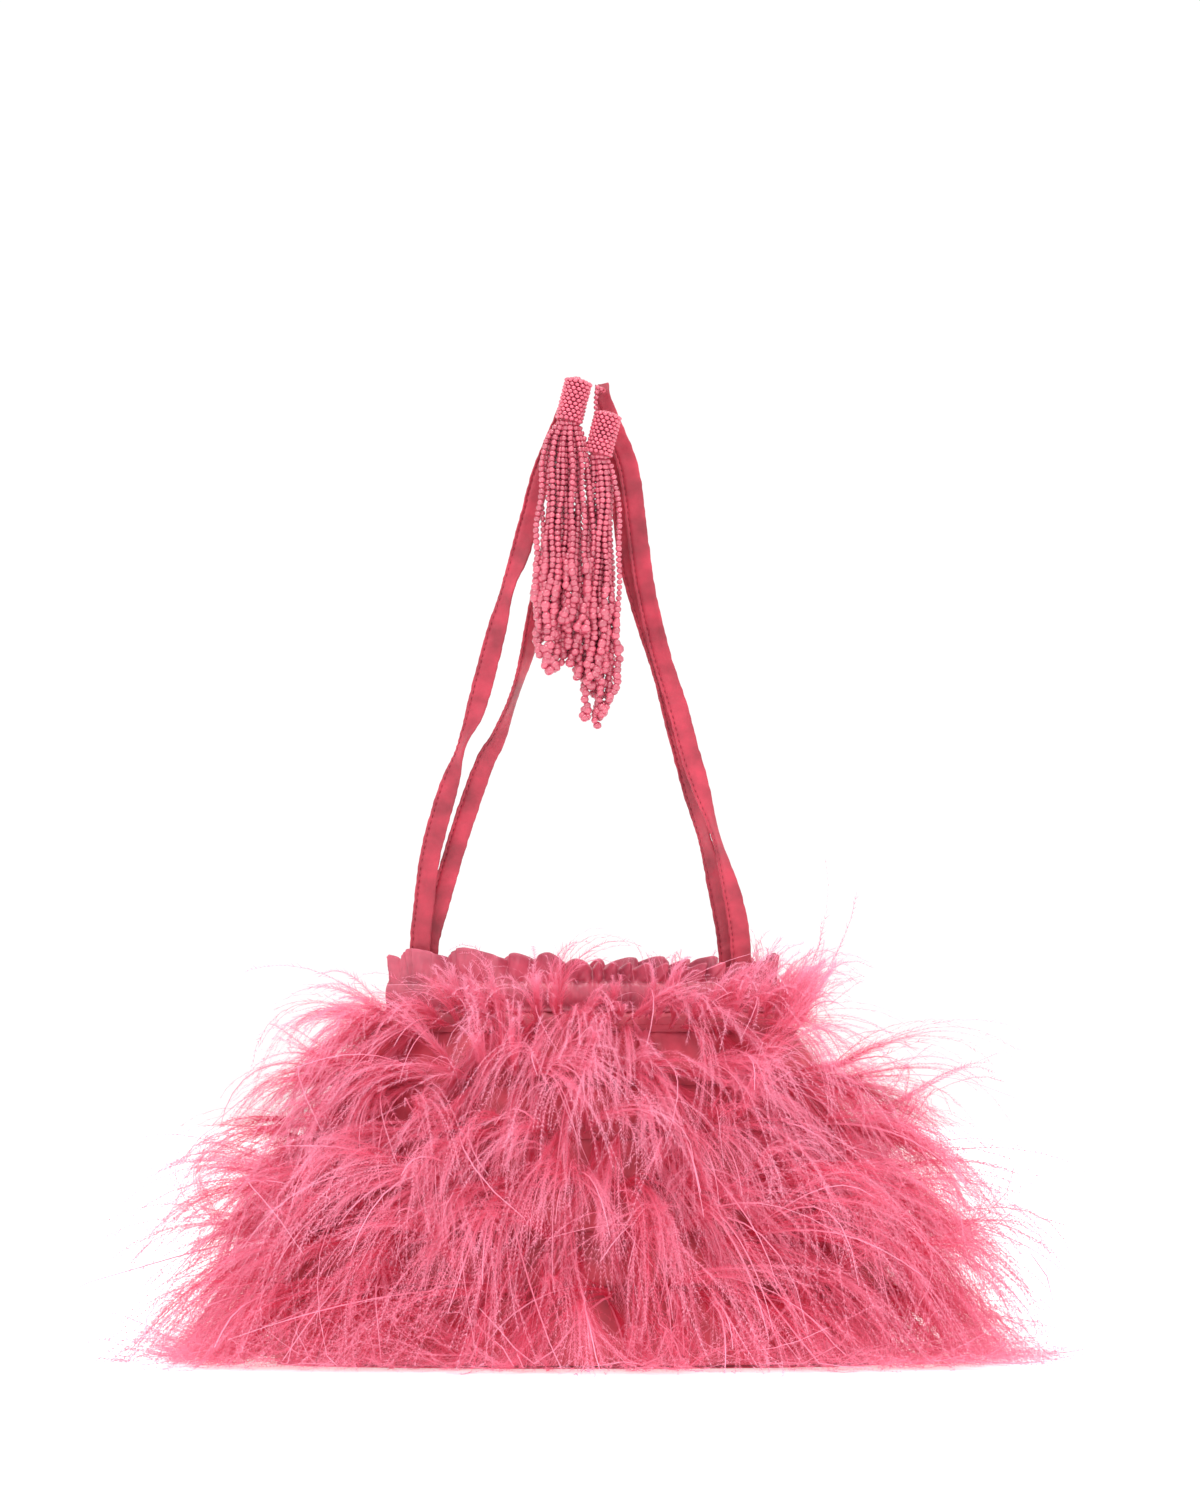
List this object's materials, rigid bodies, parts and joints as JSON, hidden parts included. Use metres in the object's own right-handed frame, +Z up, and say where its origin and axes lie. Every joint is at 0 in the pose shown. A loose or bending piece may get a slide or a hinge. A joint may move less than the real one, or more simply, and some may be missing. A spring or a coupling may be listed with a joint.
{
  "type": "feather drawstring pouch",
  "caption": "Small pink satin drawstring pouch covered in ostrich feather fringe, with ribbon drawcords and beaded tassels.",
  "frame": {"origin": "middle of the base, on the surface the pouch stands on", "axes": "+Z up, +X to the right along the mouth, -Y the front, where the tassels hang"},
  "size_m": [0.3974, 0.2374, 0.395],
  "materials": {
    "satin": "satin",
    "lining": "satin",
    "board": "matte",
    "tape": "matte",
    "feather": "matte",
    "ribbon": "satin",
    "beads": "gloss",
    "thread": "matte",
    "core": "satin"
  },
  "bodies": {
    "bag": {"satin_shell_front": "satin", "satin_shell_back": "satin", "base_panel": "satin", "base_board": "board", "lining_bag": "lining", "left_side_casing": "satin", "right_side_casing": "satin", "feather_tape_1": "tape", "feather_tape_2": "tape", "feather_tape_3": "tape", "feather_tape_4": "tape", "feather_tape_5": "tape", "feather_tape_6": "tape", "feather_row_1": "feather", "feather_row_2": "feather", "feather_row_3": "feather", "feather_row_4": "feather", "feather_row_5": "feather", "feather_row_6": "feather"},
    "mouth_front": {"casing_front": "satin", "frill_front": "satin", "left_cord_run_front": "ribbon", "right_cord_run_front": "ribbon"},
    "mouth_back": {"casing_back": "satin", "frill_back": "satin", "left_cord_run_back": "ribbon", "right_cord_run_back": "ribbon"},
    "left_drawcord": {"left_cord_tail": "ribbon"},
    "left_loop": {"left_cord_loop": "ribbon"},
    "left_knot": {"left_tassel_knot": "thread"},
    "left_tassel": {"left_tassel_hanger": "beads", "left_tassel_cap": "beads", "left_tassel_core": "core", "left_tassel_strands_front": "beads", "left_tassel_strands_back": "beads"},
    "right_drawcord": {"right_cord_tail": "ribbon"},
    "right_loop": {"right_cord_loop": "ribbon"},
    "right_knot": {"right_tassel_knot": "thread"},
    "right_tassel": {"right_tassel_hanger": "beads", "right_tassel_cap": "beads", "right_tassel_core": "core", "right_tassel_strands_front": "beads", "right_tassel_strands_back": "beads"}
  },
  "joints": [
    {"name": "left_cord_pull", "type": "slide", "parent": "bag", "child": "left_drawcord", "axis": [0, 0, 1], "range_m": [0, 0.02]},
    {"name": "left_loop_fold", "type": "hinge", "parent": "left_drawcord", "child": "left_loop", "pos_m": [-0.0685, 0, 0.1625], "axis": [0, -1, 0], "range_deg": [0, 80]},
    {"name": "left_tassel_side_swing", "type": "hinge", "parent": "left_loop", "child": "left_knot", "pos_m": [-0.0043, -0.0066, 0.388], "axis": [0, 1, 0], "range_deg": [0, 30]},
    {"name": "left_tassel_forward_swing", "type": "hinge", "parent": "left_knot", "child": "left_tassel", "pos_m": [-0.0043, -0.0066, 0.388], "axis": [-1, 0, 0], "range_deg": [0, 55]},
    {"name": "right_cord_pull", "type": "slide", "parent": "bag", "child": "right_drawcord", "axis": [0, 0, 1], "range_m": [0, 0.02]},
    {"name": "right_loop_fold", "type": "hinge", "parent": "right_drawcord", "child": "right_loop", "pos_m": [0.0663, 0, 0.1625], "axis": [0, 1, 0], "range_deg": [0, 80]},
    {"name": "right_tassel_side_swing", "type": "hinge", "parent": "right_loop", "child": "right_knot", "pos_m": [0.008, -0.0066, 0.388], "axis": [0, -1, 0], "range_deg": [0, 30]},
    {"name": "right_tassel_forward_swing", "type": "hinge", "parent": "right_knot", "child": "right_tassel", "pos_m": [0.008, -0.0066, 0.388], "axis": [-1, 0, 0], "range_deg": [0, 55]},
    {"name": "mouth_front_gather", "type": "slide", "parent": "bag", "child": "mouth_front", "axis": [0, 1, 0], "range_m": [0, 0.004]},
    {"name": "mouth_back_gather", "type": "slide", "parent": "bag", "child": "mouth_back", "axis": [0, -1, 0], "range_m": [0, 0.004]}
  ],
  "couplings": [
    {"joint": "right_cord_pull", "follows": "left_cord_pull", "ratio": 1},
    {"joint": "mouth_front_gather", "follows": "left_cord_pull", "ratio": 0.2},
    {"joint": "mouth_back_gather", "follows": "left_cord_pull", "ratio": 0.2}
  ]
}
